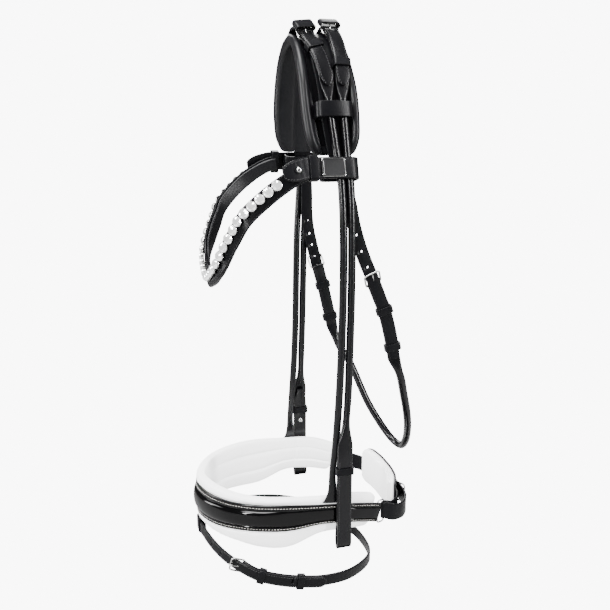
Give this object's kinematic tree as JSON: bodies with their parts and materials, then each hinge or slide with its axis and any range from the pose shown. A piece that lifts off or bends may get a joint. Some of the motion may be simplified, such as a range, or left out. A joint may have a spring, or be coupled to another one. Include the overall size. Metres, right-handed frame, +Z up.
{
  "type": "snaffle bridle",
  "caption": "Leather snaffle bridle with a padded crown, a crystal browband, rolled cheek straps, a padded flash noseband and a throatlatch, held as it is worn, without bit or reins.",
  "frame": {"origin": "underside of the padded crown on the centre plane, where it rests on the horse's poll", "axes": "+Z up, -Y towards the horse's nose, +X towards the horse's left (near) side, with the horse's middle plane at X = 0"},
  "size_m": [0.1854, 0.2614, 0.6188],
  "materials": {
    "leather": "black satin bridle leather",
    "patent": "black patent, high gloss",
    "white_pad": "soft white padded leather",
    "steel": "polished stainless",
    "crystal": "clear faceted crystal in a silver cup"
  },
  "bodies": {
    "headpiece": {"crown_pad": "leather", "crown_strap": "leather", "crown_keeper_near": "leather", "crown_keeper_far": "leather", "noseband_near_top": "leather", "noseband_far_top": "leather", "cheek_near_top": "leather", "cheek_far_top": "leather", "noseband_poll_frame": "steel", "noseband_poll_keeper": "leather", "cheek_poll_frame": "steel", "cheek_poll_keeper": "leather"},
    "browband": {"browband_keeper_far": "leather", "browband_keeper_near": "leather", "browband_leather": "leather", "browband_loop_far": "leather", "browband_loop_near": "leather", "browband_plate_far": "steel", "browband_plate_near": "steel", "browband_stud_far": "steel", "browband_stud_near": "steel", "crystal_chain": "crystal"},
    "cheek_near_strap": {"cheek_near": "leather", "cheek_near_stud": "steel"},
    "cheek_far_strap": {"cheek_far": "leather", "cheek_far_stud": "steel"},
    "cheek_near_runner": {"cheek_near_keeper": "leather"},
    "cheek_far_runner": {"cheek_far_keeper": "leather"},
    "noseband": {"noseband_cheek_near": "leather", "noseband_cheek_far": "leather", "noseband_strip": "patent", "noseband_pad": "white_pad", "noseband_ring_near": "steel", "noseband_ring_far": "steel", "chin_strap": "leather", "chin_backing": "leather", "chin_pad": "white_pad", "chin_buckle_tab": "leather", "chin_frame": "steel", "chin_keeper": "leather", "flash_loop": "leather"},
    "flash": {"flash_strap": "leather", "flash_frame": "steel", "flash_keeper_1": "leather"},
    "flash_runner": {"flash_keeper_2": "leather"},
    "throatlatch": {"throat_billet_near": "leather", "throat_billet_far": "leather", "throat_roll": "leather", "throat_near_frame": "steel", "throat_far_frame": "steel", "throat_keeper_near_1": "leather", "throat_keeper_far_1": "leather"},
    "throat_near_runner": {"throat_keeper_near_2": "leather"},
    "throat_far_runner": {"throat_keeper_far_2": "leather"},
    "noseband_poll_prong_body": {"noseband_poll_prong": "steel"},
    "cheek_poll_prong_body": {"cheek_poll_prong": "steel"},
    "chin_prong_body": {"chin_prong": "steel"},
    "flash_prong_body": {"flash_prong": "steel"},
    "throat_near_prong_body": {"throat_near_prong": "steel"},
    "throat_far_prong_body": {"throat_far_prong": "steel"}
  },
  "joints": [
    {"name": "browband_tilt", "type": "hinge", "parent": "headpiece", "child": "browband", "pos_m": [0, 0.008, -0.12436], "axis": [1, 0, 0], "range_deg": [-6, 8]},
    {"name": "cheek_near_swing", "type": "hinge", "parent": "headpiece", "child": "cheek_near_strap", "pos_m": [0.0812, 0.0194, -0.14273], "axis": [0, -1, 0], "range_deg": [0, 10]},
    {"name": "cheek_near_keeper_slide", "type": "slide", "parent": "cheek_near_strap", "child": "cheek_near_runner", "axis": [0, 0, 1], "range_m": [-0.005, 0.002]},
    {"name": "cheek_far_swing", "type": "hinge", "parent": "headpiece", "child": "cheek_far_strap", "pos_m": [-0.0812, 0.0194, -0.14273], "axis": [0, 1, 0], "range_deg": [0, 10]},
    {"name": "cheek_far_keeper_slide", "type": "slide", "parent": "cheek_far_strap", "child": "cheek_far_runner", "axis": [0, 0, 1], "range_m": [-0.005, 0.002]},
    {"name": "noseband_swing", "type": "hinge", "parent": "headpiece", "child": "noseband", "pos_m": [0, 0.0064, -0.14336], "axis": [-1, 0, 0], "range_deg": [0, 12]},
    {"name": "flash_tilt", "type": "hinge", "parent": "noseband", "child": "flash", "pos_m": [0, -0.1308, -0.5275], "axis": [1, 0, 0], "range_deg": [-6, 5]},
    {"name": "flash_keeper_slide", "type": "slide", "parent": "flash", "child": "flash_runner", "axis": [-0.0383, -0.9812, 0.1894], "range_m": [-0.004, 0.004]},
    {"name": "throatlatch_swing", "type": "hinge", "parent": "headpiece", "child": "throatlatch", "pos_m": [0, 0.0235, -0.14431], "axis": [1, 0, 0], "range_deg": [0, 12]},
    {"name": "throat_near_keeper_slide", "type": "slide", "parent": "throatlatch", "child": "throat_near_runner", "axis": [0, -0.2039, 0.979], "range_m": [-0.003, 0.003]},
    {"name": "throat_far_keeper_slide", "type": "slide", "parent": "throatlatch", "child": "throat_far_runner", "axis": [0, -0.2128, 0.9771], "range_m": [-0.003, 0.003]},
    {"name": "noseband_poll_prong_lift", "type": "hinge", "parent": "headpiece", "child": "noseband_poll_prong_body", "pos_m": [0.02678, -0.011, 0.00298], "axis": [-0.1411, 0.9837, 0.1118], "range_deg": [0, 50]},
    {"name": "cheek_poll_prong_lift", "type": "hinge", "parent": "headpiece", "child": "cheek_poll_prong_body", "pos_m": [0.01697, 0.017, 0.00903], "axis": [0, 1, 0], "range_deg": [0, 50]},
    {"name": "chin_prong_lift", "type": "hinge", "parent": "noseband", "child": "chin_prong_body", "pos_m": [0.014, 0.1056, -0.5135], "axis": [0, 0, 1], "range_deg": [0, 50]},
    {"name": "flash_prong_lift", "type": "hinge", "parent": "flash", "child": "flash_prong_body", "pos_m": [0.06225, -0.09351, -0.551], "axis": [0.1793, 0.2096, 0.9612], "range_deg": [0, 50]},
    {"name": "throat_near_prong_lift", "type": "hinge", "parent": "throatlatch", "child": "throat_near_prong_body", "pos_m": [0.0687, 0.049, -0.24], "axis": [0, 0.9196, 0.3929], "range_deg": [0, 50]},
    {"name": "throat_far_prong_lift", "type": "hinge", "parent": "throatlatch", "child": "throat_far_prong_body", "pos_m": [-0.0687, 0.0312, -0.246], "axis": [0, -0.9642, -0.2653], "range_deg": [0, 50]}
  ]
}
